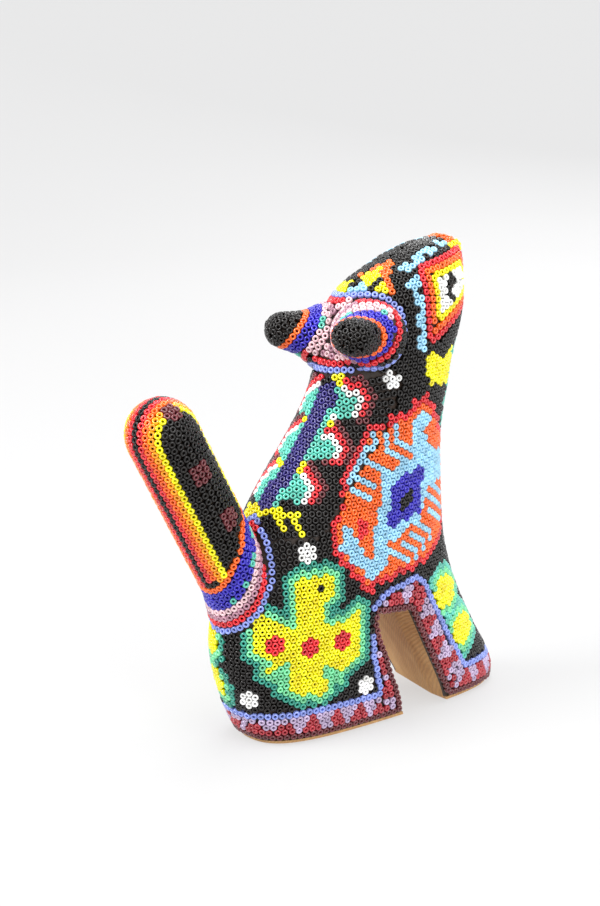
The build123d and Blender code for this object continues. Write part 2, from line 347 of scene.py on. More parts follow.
def settle_beads(rounds):
    """Let the beads push each other apart along the skin; rows give way less than fields."""
    for _ in range(rounds):
        moves = np.zeros((len(beads), 3))
        at = np.array(beads.at)
        for i, near in enumerate(neighbours(PITCH * 0.995)):
            for j, d in near:
                moves[i] += (at[i] - at[j]) / max(d, 1e-6) * (PITCH - d) * 0.4
        for i, move in enumerate(moves):
            size = np.linalg.norm(move)
            if size > 0.01:
                move = move * min(0.35 / size, 1.0) * beads.grip[i]
                q, n, face, far = skin.near(at[i] + move)
                beads.at[i], beads.face[i] = q, face
                beads.normal[i] = n
    beads.grid = {}
    for i, p in enumerate(beads.at):
        beads.grid.setdefault(beads._cell(p), []).append(i)


def fill_gaps(room):
    """Drop a bead into every gap that has room for one."""
    for number in range(len(beads)):
        best, best_room = None, room * PITCH
        for turn in range(12):
            q, m, face, far = skin.near(beads.at[number] + turned(number, turn * math.pi / 6) * PITCH * 0.95)
            clear = beads.clearance(q)
            if clear > best_room and rim_distance(q) > RIM_ROOM:
                best, best_room = (q, m, face), clear
        if best:
            beads.lay(best[0], best[1], beads.along[number], best[2])


def even(line, closed, step=0.6):
    """The same line with its points evenly spaced and back on the skin."""
    points = np.array(line + line[:1] if closed else line)
    lengths = lengths_along(points)
    count = max(int(lengths[-1] / step), 2)
    marks = np.linspace(0.0, lengths[-1], count + (0 if closed else 1), endpoint=not closed)
    return [skin.near([np.interp(s, lengths, points[:, c]) for c in range(3)])[0] for s in marks]


def beside(line, closed, way, distance=ROW):
    """A line moved sideways along the skin, clear of itself; way is 1 for its left and -1 for its right."""
    if len(line) < 4:
        return []
    points = np.array(line)
    ahead, behind = np.roll(points, -1, axis=0), np.roll(points, 1, axis=0)
    if not closed:
        ahead[-1], behind[0] = points[-1], points[0]
    old = tree_of(points)
    moved = []
    for p, a, b in zip(points, ahead, behind):
        for part in (1, 2):
            q, n, face, far = skin.near(p)
            p = q + unit(np.cross(n, a - b)) * way * distance / 2
        q = skin.near(p)[0]
        if old.find(q)[2] > 0.93 * distance:
            moved.append(q)
    return even(moved, closed) if len(moved) > 4 else []


# ---------------------------------------------------------------- the beadwork's own fields
def arch_at(x):
    """The arch's outline, seen from the side, at one distance across."""
    turn = max(0.0, x + 7.0) * 5.0 / 24.5
    return ARCH[:5] + [(y - turn, z) for y, z in ARCH[5:]]


def rim_distance(p):
    """How far a point is above the rim at the ground or away from the arch."""
    return smooth_min(p[2] - RIM_HEIGHT, -outline_distance(arch_at(p[0]), p[1], p[2]))


def line_distance(p):
    """Zero along the pale blue line which closes the border, positive above it."""
    return smooth_min(p[2] - 9.6, -outline_distance(BORDER_LINE, p[1], p[2]))


def tail_place(p):
    """A point in the tail's own terms: along it, and out from its axis."""
    offset = p - TAIL_ROOT
    along = offset @ TAIL_AXIS
    return along, np.linalg.norm(offset - along * TAIL_AXIS)


BAND_SIDE = np.array((-math.cos(TAIL_TWIST), -math.sin(TAIL_TWIST) * math.cos(TAIL_LEAN),
                      math.sin(TAIL_TWIST) * math.sin(TAIL_LEAN)))  # across the band, towards the right


def tail_row(p):
    """Which lengthwise row of the tail a point is in, counted from the middle of the band."""
    across = BAND_SIDE @ (p - TAIL_ROOT)
    return TAIL_RADIUS / ROW * math.asin(max(-1.0, min(1.0, across / TAIL_RADIUS)))


def collar_distance(p):
    """Distance below the collar's top ring, measured square to the ring."""
    offset = p - TAIL_ROOT
    rearward = offset[1] * math.cos(TAIL_LEAN) - offset[2] * math.sin(TAIL_LEAN)
    return (COLLAR_TOP - offset @ TAIL_AXIS - COLLAR_LEAN * rearward) / math.hypot(1.0, COLLAR_LEAN)


def segment_distance(p, a, b):
    t = min(max((p - a) @ (b - a) / ((b - a) @ (b - a)), 0.0), 1.0)
    return np.linalg.norm(p - a - t * (b - a))


EAR_CHAIN = [np.array(c) for c in ((-18.2, 6.0, 118.5), (-11.5, -9.0, 117.5), (0.0, -4.0, 116.5),
                                   (11.5, -9.0, 115.0), (18.2, 6.0, 116.3))]


def ears_distance(p):
    """Distance from the chain which runs from one ear's tip through the head to the other's."""
    return min(segment_distance(p, a, b) for a, b in zip(EAR_CHAIN, EAR_CHAIN[1:]))


def ear_place(side, p):
    """How far a point is along an ear, and how far out from its axis."""
    root = np.array(EAR_ROOTS[side])
    axis = unit(np.array(EAR_TIPS[side]) - root)
    along = (p - root) @ axis
    return along, np.linalg.norm(p - root - along * axis)


def ear_ring(side, p):
    """Like the distance along an ear, but leaning as the rings round its tip do."""
    tip = np.array(EAR_TIPS[side])
    axis = unit(tip - np.array(EAR_ROOTS[side]))
    return (p - tip) @ (axis + np.array(EAR_RING_TILTS[side]))


# ---------------------------------------------------------------- motifs, seen from the side (y, z)
BIRD = [(20.5, 49), (18.5, 50.8), (11.5, 50.4), (8.5, 48.5), (9.3, 43.7), (12.4, 41.2), (11, 35.5), (7, 35.7),
        (-0.7, 39), (-0.5, 22.7), (4, 21.8), (10.5, 25), (12.5, 23.5), (10.2, 15.6), (17.2, 15.2), (23.6, 18),
        (21.7, 23.3), (23.2, 26.8), (30.6, 28.2), (33, 31), (33.5, 42.8), (28.8, 41.3), (24, 36.8), (21.5, 37)]
FAN = [  # the bird's tail, green between its yellow feathers
    (31.5, 28.5), (28, 20), (22, 15.4), (11, 14.8), (5, 17), (0, 22.5), (11, 25.5), (22, 25.5)]
FEATHERS = [[(24.5, 27), (28, 21.2)], [(22.2, 25.3), (23.7, 18)], [(10.6, 24.5), (5.6, 18.4)],
            [(13.6, 23.7), (9.1, 15)]]
FIGURE = [(-28, 97.5), (-23.5, 96.5), (-21, 94), (-19, 92), (-16.5, 93.5), (-12.5, 92), (-8, 91.2), (-4, 88),
          (-1, 83.5), (1.5, 79.5), (4, 77), (5.5, 69), (8, 66), (9.5, 57), (4.5, 51), (-3, 42.7), (-5, 41.5),
          (-6.5, 44), (-15, 45), (-28.5, 46.5), (-39, 52.5), (-43, 62), (-43, 80), (-34, 90.5), (-30.3, 96)]
FIGURE_BLUE = [(-27, 93.5), (-23.8, 91.2), (-21.4, 88), (-22.3, 84), (-22.6, 79.3), (-18.5, 78.6), (-15, 77.5),
               (-10.3, 76.6), (-9.5, 69), (-8.5, 65.7), (-5.5, 59.5), (-5, 56), (-6.5, 50.8), (-4.5, 46.5),
               (-9.3, 47.5), (-13.5, 52.5), (-12, 55.6), (-16, 56.8), (-20, 58), (-24.7, 59.8), (-28.5, 63.4),
               (-29.3, 70.8), (-41, 69), (-41, 77), (-29.3, 82), (-28.3, 87), (-31.5, 89.8)]
FIGURE_TAIL = [(4.5, 64), (6, 57.3), (-4, 46.3), (-6.8, 49), (-0.3, 57.5), (1, 60.5)]
FIGURE_RED = [(-0.3, 64.8), (-3, 64.6), (-4.2, 62), (-2, 58), (-0.6, 60.5)]
BARBS = [  # the first barb's start, the way to the next one, how many, and each barb's legs: direction, beads
    ((-7.6, 87), (-1, 0.3), 3, [((0, -1), 2), ((-0.87, -0.5), 5)]),
    ((-3.4, 82), (0.5, -0.87), 5, [((-0.87, 0.5), 1), ((-0.87, -0.5), 5)]),
    ((-39.5, 64.5), (0.3, -1), 3, [((0.87, 0.5), 6)]),
    ((-29.6, 53.4), (1, -0.3), 5, [((0, 1), 1), ((0.87, 0.5), 4)])]
DIAMOND = [(-28.2, 76.8), (-14.2, 73.6), (-11.2, 59.8), (-25.2, 62.2)]
DIAMOND_HEART = [(-22.4, 71.4), (-18.2, 69.6), (-16.8, 64.6), (-21.6, 65.8)]
EYE = [(-48.7, 138.2), (-28.6, 134.2), (-28.9, 110.8), (-51, 122.5), (-51.5, 131)]
THROAT = [(-27.8, 109.6), (-34.4, 108.4), (-35.5, 105.6), (-40.5, 110), (-44, 106), (-41, 98.2), (-29.5, 99.8),
          (-26.8, 105)]
LEG_OVALS = [[(-34.4, 40.2), (-41.2, 40), (-44.8, 35.8), (-43.8, 31), (-36.5, 30), (-31.2, 34.5)],
             [(-41.2, 25), (-46.5, 26.4), (-51.6, 24.5), (-53, 19.5), (-45.8, 16.2), (-39.8, 19)]]
HEXAGONS = [((28, 32.7), "red"), ((17, 30), "red"), ((6.2, 29.8), "red"), ((-15.3, 102.8), "white"),
            ((17.2, 57.4), "white"), ((-4.6, 13.9), "white"), ((32, 15.2), "white")]
BUTTERFLIES = [(-41.3, 139.4), (-35.8, 138.1), (-30.6, 136.3), (-25.6, 133.9), (-25.6, 130.0), (-25.9, 125.0),
               (-26.8, 119.2), (-26.7, 113.0)]
PETALS = [  # the flower on the forehead, seen from above (x, y)
    ("orange", [(2.6, -16), (-0.6, -22.6), (-2.2, -27), (-5.4, -22.2), (-6.4, -18)]),
    ("yellow", [(0.6, -14.6), (-1.6, -21.4), (-5.6, -18), (-5.2, -14.2), (-2.3, -13)]),
    ("orange", [(-5.6, -16.3), (-8.2, -20.4), (-10, -19.6), (-11, -16.9), (-10, -13.9)]),
    ("yellow", [(-7, -11.6), (-6.4, -16.4), (-8.6, -18), (-9.4, -16.6), (-9, -13.4)]),
    ("yellow", [(10, -11.2), (6.8, -14.6), (1.2, -12.6), (-1.5, -8)]),
    ("blue", [(0.9, -11), (-1.8, -13), (-4.8, -13.6), (-4.2, -9.3), (-1.3, -8.8)])]
CORN_STEM = [(-3.4, 99.8), (-2.0, 71)]  # the plant on the back, seen from behind (x, z)
CORN_TOP = [(-0.6, 105.8), (-8.6, 105.8), (-5.4, 101.4)]
CORN_LOBES = [[(-4, 99.8), (-9.4, 99.8), (-11.4, 97.6), (-11.4, 92.8), (-4, 94.8)],
              [(-4, 88.8), (-9.5, 88), (-11.3, 85.5), (-11, 81.8), (-4, 83.6)],
              [(-4, 78.2), (-8.7, 77.7), (-10.8, 75), (-10.8, 71.2), (-4, 72.6)]]
CORN_MIRROR = -5.6  # the lobes on the left are those on the right, mirrored about half this x
CORN_DOTS = [(-7.4, 91.7), (-7.0, 80.6), (1.8, 91.7), (1.6, 80.6)]
CORN_BAR = [(-10.6, 68.6), (5, 68.6)]
CORN_ROOTS = [[(-5.0, 68.4), (-10.2, 65.4)], [(-9.2, 68.4), (-14.4, 65.4)], [(-0.6, 68.4), (4.6, 65.4)],
              [(3.6, 68.4), (8.8, 65.4)]]
REAR_EDGE = [(35, 10), (35, 60), (-6, 60), (-6, 10)]  # the part of the side that the bird takes
REAR_OVALS = [((4.4, 34), 4.2, 6.6, 0.1), ((3.6, 18.6), 3.8, 4.6, 0.1)]  # on the rump, seen from behind (x, z)
CORN_CLUSTERS = [(-7.2, 57.0, 102.8), (-10.2, 49.2, 85.8), (-9.9, 40.0, 71.7)]  # on the tail


def stroke_distance(stroke, u, v):
    """Distance from a point to a drawn line."""
    best = 1e9
    for (u0, v0), (u1, v1) in zip(stroke, stroke[1:]):
        du, dv = u1 - u0, v1 - v0
        t = min(max(((u - u0) * du + (v - v0) * dv) / (du * du + dv * dv), 0.0), 1.0)
        best = min(best, math.hypot(u - u0 - t * du, v - v0 - t * dv))
    return best


# ---------------------------------------------------------------- laying the rows
colours = {}  # bead number: colour
# The rings from the top down, and from each ear's tip inward; "collar" and "earpink" are mixed rows.
COLLAR_ROWS = ("orange", "cobalt", "cobalt", "collar", "pink", "mauve", "red", "periwinkle")
EAR_ROWS = ("orange", "cobalt", "cobalt", "earpink", "pink", "mauve", "pink", "mauve")
TAIL_ROWS = {"tail0": "black", "tail1": "red", "tail2": "orange", "tail3": "amber", "tail4": "yellow"}


def row_of(colour, line, closed, name, grip=0.3, keep=lambda p: True):
    """Lay one row of a colour and remember it."""
    first = len(beads)
    lay_row(line, closed, name, grip, keep)
    for number in range(first, len(beads)):
        colours[number] = colour


def nest(line, step):
    """Lay a row above the rim row, each bead between two of the row below."""
    tree = tree_of(line)
    count = round(len(rim_line) * 0.6 / PITCH)
    for k in range(count):
        mark = (k + step / 2) % count * len(rim_line) / count
        q, n, face, far = skin.near(tree.find(rim_line[int(mark)])[0])
        if line_distance(q) < 0.0 and beads.clearance(q) > SNUG * PITCH:
            ahead = np.array(rim_line[(int(mark) + 1) % len(rim_line)]) - rim_line[int(mark)]
            colours[beads.lay(q, n, ahead, face, "triangles", 0.2)] = f"triangle{step}"


# The rim row, the pale blue line and the triangles between them.
rim_line, rim_closed = trace(rim_distance, 1.05, (-17.0, 10.0, 2.4))
row_of("maroon", rim_line, rim_closed, "rim", grip=0.15)
border_line, border_closed = trace(line_distance, 0.0, (-17.0, 10.0, 9.6))
row_of("periwinkle", border_line, border_closed, "border", grip=0.15)
for step in range(1, BORDER_ROWS):
    line, closed = trace(rim_distance, 1.05 + step * ROW, (-17.0, 10.0, 2.4 + step * ROW))
    nest(line, step)

# The tail: the collar's rings first, then lengthwise rows from the band outwards.
start = TAIL_ROOT + TAIL_AXIS * COLLAR_TOP + np.array((-TAIL_RADIUS, 0, 0))
ring, ring_closed = trace(collar_distance, 0.0, start)
below = 1 if (np.cross(skin.near(ring[0])[1], ring[1] - ring[0]) @ TAIL_AXIS) < 0 else -1
for step, colour in enumerate(COLLAR_ROWS):
    if step:
        ring = beside(ring, ring_closed, below)
    row_of(colour, ring, ring_closed, f"collar{step}", grip=0.25)
tip_side = unit(np.array((0.0, math.cos(TAIL_LEAN), -math.sin(TAIL_LEAN))))
for number in sorted(range(-8, 9), key=abs):
    angle = number * ROW / TAIL_RADIUS
    out = math.cos(angle) * unit(tip_side + math.tan(TAIL_TWIST) * BAND_SIDE) + math.sin(angle) * BAND_SIDE
    start = TAIL_ROOT + TAIL_AXIS * 50 + TAIL_RADIUS * out
    line, closed = trace(tail_row, number, start, inside=lambda p: collar_distance(p) < -1.3)
    row_of(f"tail{abs(number)}", line, closed, "tail", grip=0.25)

# The ears: the outline they share, then rings round each dark tip.
for level, colour in ((11.0, "periwinkle"), (11.0 - ROW, "red")):
    for start in ((0.0, -1.5, 106.0), (-15.0, -20.0, 115.0), (0.0, -10.0, 127.0), (15.0, -20.0, 113.0),
                  (-16.0, -8.0, 107.0), (16.0, -8.0, 105.0)):
        line, closed = trace(ears_distance, level, start)
        row_of(colour, line, closed, "ears", grip=0.15)
for side in SIDES:
    tip = np.array(EAR_TIPS[side])
    axis = unit(tip - np.array(EAR_ROOTS[side]))
    start = tip - axis * 9 + np.array((0, 0, 6.0))
    ring, closed = trace(lambda p: ear_ring(side, p), EAR_DARK_ENDS[side], start)
    below = 1 if (np.cross(skin.near(ring[0])[1], ring[1] - ring[0]) @ axis) < 0 else -1
    for step, colour in enumerate(EAR_ROWS):
        if step:
            ring = beside(ring, closed, below)
        row_of(colour, ring, closed, f"ear{step}", grip=0.25,
               keep=lambda p: ears_distance(p) < 10.2 - ROW)

# The frame of each eye: rows that follow its outline inward, traced on the right and mirrored.
eye_depth = lambda p: outline_distance(EYE, p[1], p[2])
traced, closed = trace(eye_depth, 0.6, (-17.0, -30.0, 125.0), inside=lambda p: p[0] < -1.5, step=0.5)
for side in SIDES:
    line = [skin.near((-side * x, y, z))[0] for x, y, z in traced]
    inward = max((1, -1), key=lambda way: np.mean([eye_depth(p) for p in beside(line, closed, way)]))
    for step, colour in enumerate(("red", "orange", "yellow")):
        if step:
            line = beside(line, closed, inward)
        row_of(colour, line, closed, "eye", grip=0.3)

# ---------------------------------------------------------------- growing the fields
def from_side(side, y, z):
    """The point of the skin seen from one side at a place in the side view."""
    hit = skin.tree.ray_cast(Vector((side * 60.0, y, z)), Vector((-side, 0.0, 0.0)))
    return np.array(hit[0]) if hit[0] is not None else skin.near((side * 17.0, y, z))[0]


stem_way = np.array((0.03, -0.62, 0.78))
grow([(skin.near((-3.0, 12.0, 84.0))[0], stem_way)],
     keep=lambda q: -15 < q[0] < 10 and 62 < q[2] < 104 and skin.near(q)[1][1] > 0.12)
grow([(from_side(side, *seed), (0.0, 0.0, 1.0))
      for side in SIDES for seed in ((15.0, 33.0), (-16.0, 66.0))])
grow(None)
for room, rounds in ((0.82, 14), (0.8, 12), (0.8, 12), (0.8, 10)):
    settle_beads(rounds)
    fill_gaps(room)
settle_beads(8)

# ---------------------------------------------------------------- colouring the fields
def cluster(centre, reach=1.35):
    """The bead nearest to a point and those round it."""
    at = np.array(beads.at)
    middle = at[np.argmin(np.linalg.norm(at - centre, axis=1))]
    return np.nonzero(np.linalg.norm(at - middle, axis=1) < reach * PITCH)[0]


rim_points = np.array(rim_line)
TRIANGLE_PAIRS = round(len(rim_points) * 0.6 / PITCH / 4)
rim_tree = tree_of(rim_points)


def triangle_colour(p, step):
    """Red triangles stand on the rim row and pale ones hang between them."""
    along = rim_tree.find(p)[1] / len(rim_points) * TRIANGLE_PAIRS % 1.0 * 4.0
    return "brick" if abs(along - 2.0) < (4 - step) / 2 else "lavender"


def oval_depth(y, z, oval):
    """0 at the middle of a leaning oval, 1 on its outline."""
    (cy, cz), a, b, lean = oval
    u = (y - cy) * math.cos(lean) + (z - cz) * math.sin(lean)
    v = -(y - cy) * math.sin(lean) + (z - cz) * math.cos(lean)
    return math.hypot(u / a, v / b)


def corn_colour(x, z):
    """The plant on the back, seen from behind, without the rows that follow its lobes."""
    if stroke_distance(CORN_STEM, x, z) < 2.75:
        return "navy"
    if outline_distance(CORN_TOP, x, z) > 0:
        return "yellow"
    if min(math.hypot(x - u, z - v) for u, v in CORN_DOTS) < 1.15:
        return "yellow"
    if stroke_distance(CORN_BAR, x, z) < 1.0:
        return "yellow"
    for lobe in CORN_LOBES:
        if max(outline_distance(lobe, x, z), outline_distance(lobe, CORN_MIRROR - x, z)) > 0:
            return "turquoise"
    return "black"


def on_back(p, normal):
    """Whether a bead lies on the back, where the plant is, and not in the figure on the flank."""
    return (p[1] > -12 and 62 < p[2] < 106 and abs(p[0] + 2.8) < 15 and normal[1] > 0.1
            and outline_distance(FIGURE, p[1], p[2]) < 0)


def field_colour(p, normal):
    """The colour of a bead that isn't part of a row."""
    x, y, z = p
    along, out = tail_place(p)
    if along > 10 and out < TAIL_RADIUS + 1.2 and z > 45:
        return "black"
    for side in SIDES:
        ear_along, ear_out = ear_place(side, p)
        if ear_ring(side, p) > EAR_DARK_ENDS[side] and ear_out < 9 and ear_along > 12:
            return "black"
    if ears_distance(p) < 9.6:
        return "pink" if rng.random() < 0.6 else "mauve"
    if line_distance(p) < -0.6:
        return triangle_colour(p, 2)
    if on_back(p, normal):
        return corn_colour(x, z)
    for oval in REAR_OVALS:
        if y > 20 and z < 45 and oval_depth(x, z, oval) < 1:
            return "yellow"
    if abs(x) < 2.6 and normal[1] < -0.8 and 56 < z < 104:
        return "turquoise"
    if normal[2] > 0.25 and z > 122 and y < -6:
        for colour, petal in PETALS[::-1]:
            if outline_distance(petal, x, y) > 0:
                return colour
    depth = outline_distance(EYE, y, z)
    if 0 < depth < 3 and abs(x) > 1.5:
        return "red"
    if depth > 0 and abs(x) > 1.5:
        heart = math.hypot((y + 39.8) / 2.4, (z - 127.0) / 4.6)
        return "white" if heart > 1 or heart < 0.4 else "black"
    if y < -44 and z > 136:
        return "orange" if z > 139.5 else "yellow"
    if outline_distance(FIGURE, y, z) > 0:
        if outline_distance(DIAMOND_HEART, y, z) > 0:
            return "black"
        if outline_distance(DIAMOND, y, z) > 0:
            return "cobalt"
        if outline_distance(FIGURE_RED, y, z) > 0:
            return "red"
        if outline_distance(FIGURE_BLUE, y, z) > 0 or outline_distance(FIGURE_TAIL, y, z) > 0:
            return "blue"
        return "orange"
    if outline_distance(BIRD, y, z) > 0:
        return "yellow" if abs(x) > 3 else "black"
    if outline_distance(FAN, y, z) > 0:
        return "green"
    if outline_distance(THROAT, y, z) > 0 and normal[1] > -0.7:
        return "yellow"
    if 86 < z < 110 and -0.93 < normal[1] < -0.58:
        return "turquoise"
    for oval in LEG_OVALS:
        if outline_distance(oval, y, z) > 0:
            return "yellow"
    return "black"


names = [BEAD_NODES[skin.owners[face]] for face in beads.face]
for number in range(len(beads)):
    colour = colours.get(number)
    if colour is None:
        colour = field_colour(beads.at[number], beads.normal[number])
    elif colour.startswith("triangle"):
        colour = triangle_colour(beads.at[number], int(colour[-1]))
    elif colour.startswith("tail"):
        colour = TAIL_ROWS.get(colour, "black")
    elif colour == "collar":
        colour = "turquoise" if rng.random() < 0.2 else "cobalt"
    elif colour == "earpink":
        colour = "turquoise" if rng.random() < 0.18 else "pink"
    colours[number] = colour
rowless = [number for number in range(len(beads)) if beads.row[number] is None]
touching = neighbours(1.3 * PITCH)


def follow(core, colour, allowed=lambda p, n: True):
    """Colour the black beads that touch a set of beads; returns the beads coloured."""
    found = {j for number in core for j, d in touching[number]
             if beads.row[j] is None and colours[j] == "black" and allowed(beads.at[j], beads.normal[j])}
    for number in found:
        colours[number] = colour
    return found


bead_tree = tree_of(beads.at)


def next_bead(number, way):
    """The neighbour of a bead that lies best in one direction, or None."""
    best, best_fit = None, 0.75
    for j, d in touching[number]:
        fit = unit(beads.at[j] - beads.at[number]) @ way
        if fit > best_fit:
            best, best_fit = j, fit
    return best


def stitch(number, legs, colour, over):
    """Colour a run of beads, leg by leg, as long as it crosses beads of certain colours."""
    for way, count in legs:
        way = unit(np.array(way, dtype=float))
        for _ in range(count):
            if number is None or beads.row[number] is not None or colours[number] not in over:
                return
            colours[number] = colour
            following = next_bead(number, way)
            if following is not None:
                way = unit(beads.at[following] - beads.at[number])
            number = following


for side in SIDES:
    for (y, z), between, count, legs in BARBS:
        number = bead_tree.find(from_side(side, y, z))[1]
        for _ in range(count):
            stitch(number, [((0.0, *way), beads_in) for way, beads_in in legs], "blue", ("orange",))
            for _ in range(2):
                number = number if number is None else next_bead(number, unit(np.array((0.0, *between))))
            if number is None:
                break
    for (y0, z0), (y1, z1) in FEATHERS:
        count = int(math.hypot(y1 - y0, z1 - z0) / PITCH) + 1
        stitch(bead_tree.find(from_side(side, y0, z0))[1], [((0.0, y1 - y0, z1 - z0), count)], "yellow",
               ("black", "yellow", "green"))
for (x0, z0), (x1, z1) in CORN_ROOTS:
    back = skin.tree.ray_cast(Vector((x0, 0.0, z0)), Vector((0.0, 1.0, 0.0)))[0]
    stitch(bead_tree.find(back)[1], [((x1 - x0, 0.0, z1 - z0), 4)], "yellow", ("black", "yellow"))
# Where the tail meets the body, the collar's lowest rings take the beads that touch the ring above.
for inner, colour in (("mauve", "red"), ("red", "periwinkle")):
    edge = [n for n in range(len(beads)) if colours[n] == inner and abs(collar_distance(beads.at[n]) - 12) < 5
            and tail_place(beads.at[n])[1] < 15 and beads.at[n][1] > 18]
    follow(edge, colour, lambda p, n: 8.0 < collar_distance(p) < 17 and p[1] > 14)
for side in SIDES:
    bird = [n for n in rowless if colours[n] == "yellow" and beads.at[n][0] * side > 0
            and 11 < beads.at[n][2] < 56 and outline_distance(REAR_EDGE, *beads.at[n][1:]) > 0]
    fan = [n for n in rowless if colours[n] == "green" and outline_distance(FAN, *beads.at[n][1:]) > 0]
    follow(list(follow(bird, "green")) + fan, "teal")
    ovals = [n for n in rowless if colours[n] == "yellow" and beads.at[n][0] * side > 0
             and names[n].startswith("leg")]
    follow(follow(ovals, "green"), "turquoise")
rump = [n for n in rowless if colours[n] == "yellow" and names[n].startswith("rump")]
follow(follow(rump, "green"), "teal")
figure = [n for n in rowless
          if outline_distance(FIGURE, *beads.at[n][1:]) > 0 and not on_back(beads.at[n], beads.normal[n])]
inside = set(figure)
for number in figure:
    if any(j not in inside and beads.row[j] is None for j, d in touching[number]):
        colours[number] = "red"
corn = [n for n in rowless if colours[n] in ("navy", "turquoise") and on_back(beads.at[n], beads.normal[n])]
follow([n for n in corn if colours[n] == "navy"], "turquoise", lambda p, n: on_back(p, n) and p[2] < 101.5)
for lobe in CORN_LOBES:
    foot = lobe[3][1]
    edge = [n for n in corn if max(outline_distance(lobe, beads.at[n][0], beads.at[n][2]),
                                   outline_distance(lobe, CORN_MIRROR - beads.at[n][0], beads.at[n][2])) > 0]
    for lift, colour in ((0.4, "white"), (-0.2, "red"), (-0.8, "maroon")):
        edge = follow(edge, colour, lambda p, n: p[2] > foot + lift and (p[2] < 102 or abs(p[0] + 2.8) > 3))
for side in SIDES:
    for (y, z), colour in HEXAGONS:
        for number in cluster(from_side(side, y, z)):
            colours[number] = colour
    for y, z in BUTTERFLIES:
        centre = from_side(side, y, z)
        for number in rowless:
            if np.linalg.norm(beads.at[number] - centre) < 2.3:
                colours[number] = "blue"
    colours[cluster(from_side(side, 13.6, 47.0), 0.5)[0]] = "black"
for centre in CORN_CLUSTERS:
    for number in cluster(np.array(centre), 1.6):
        colours[number] = "maroon"

# ---------------------------------------------------------------- finishes
def linear(red, green, blue):
    """A colour given as on a screen, in the light values that shaders use."""
    parts = [c / 255 for c in (red, green, blue)]
    return [((c + 0.055) / 1.055) ** 2.4 if c > 0.04 else c / 12.92 for c in parts] + [1.0]


GLASS = {  # the beads' colours, as on a screen
    "black": (15, 11, 9), "yellow": (255, 238, 4), "red": (222, 38, 48), "orange": (255, 104, 26),
    "amber": (255, 160, 14), "blue": (158, 212, 240), "periwinkle": (138, 155, 228), "cobalt": (48, 38, 178),
    "navy": (45, 36, 115), "turquoise": (92, 196, 176), "teal": (45, 150, 130), "green": (120, 218, 160),
    "white": (245, 245, 242), "pink": (226, 190, 196), "mauve": (176, 128, 146), "brick": (176, 46, 58),
    "maroon": (104, 38, 44), "lavender": (190, 170, 202)}
SLOTS = {c: "beads_" + c for c in ("black", "yellow", "red", "orange", "periwinkle", "cobalt", "turquoise",
                                   "green", "mauve")}
SLOTS.update(amber="beads_orange", blue="beads_light_blue", navy="beads_cobalt", teal="beads_turquoise",
             brick="beads_red", maroon="beads_mauve")


class Nodes:
    """A material's node tree, with short ways to add and join nodes."""

    def __init__(self, name):
        self.material = bpy.data.materials.new(name)
        self.material.use_nodes = True
        self.tree = self.material.node_tree
        self.tree.nodes.clear()
        self.output = self.add("ShaderNodeOutputMaterial")
        self.shader = self.add("ShaderNodeBsdfPrincipled")
        self.join(self.shader, "BSDF", self.output, "Surface")

    def add(self, kind, **settings):
        node = self.tree.nodes.new(kind)
        for key, value in settings.items():
            setattr(node, key, value)
        return node

    def join(self, source, output, target, socket):
        self.tree.links.new(source.outputs[output], target.inputs[socket])

    def surface(self, **inputs):
        """Set the shader's own inputs; a name's spaces are underscores here."""
        for key, value in inputs.items():
            self.shader.inputs[key.replace("_", " ")].default_value = value

    def bump(self, source, output, strength):
        """Raise the surface a third of a millimetre where another node's output is high."""
        bump = self.add("ShaderNodeBump")
        bump.inputs["Strength"].default_value = strength
        bump.inputs["Distance"].default_value = 0.0003
        self.join(source, output, bump, "Height")
        self.join(bump, "Normal", self.shader, "Normal")


def mixed(nodes, factor, output, low, high):
    """A colour between two, chosen by another node's output."""
    mix = nodes.add("ShaderNodeMix", data_type="RGBA")
    mix.inputs[6].default_value = low
    mix.inputs[7].default_value = high
    nodes.join(factor, output, mix, 0)
    return mix


def glass(colour):
    """Glossy glass that differs a little from bead to bead."""
    nodes = Nodes("glass_" + colour)
    base = linear(*GLASS[colour])
    island = nodes.add("ShaderNodeNewGeometry")
    dark = [c * 0.78 for c in base[:3]] + [1.0]
    light = [min(c * 1.15 + 0.006, 1.0) for c in base[:3]] + [1.0]
    mix = mixed(nodes, island, "Random Per Island", dark, light)
    nodes.join(mix, 2, nodes.shader, "Base Color")
    dull = colour == "black"
    nodes.surface(Roughness=0.13, IOR=1.5, Coat_Weight=0.1 if dull else 0.25,
                  Specular_IOR_Level=0.36 if dull else 0.5, Coat_Roughness=0.06)
    return nodes.material


def wax_finish():
    """Dark beeswax with the marks of fingers and of the needle."""
    nodes = Nodes("pressed_wax")
    place = nodes.add("ShaderNodeTexCoord")
    noise = nodes.add("ShaderNodeTexNoise")
    noise.inputs["Scale"].default_value = 900.0
    nodes.join(place, "Object", noise, "Vector")
    mix = mixed(nodes, noise, "Fac", linear(22, 15, 11), linear(64, 44, 30))
    nodes.join(mix, 2, nodes.shader, "Base Color")
    nodes.surface(Roughness=0.55)
    nodes.bump(noise, "Fac", 0.4)
    return nodes.material


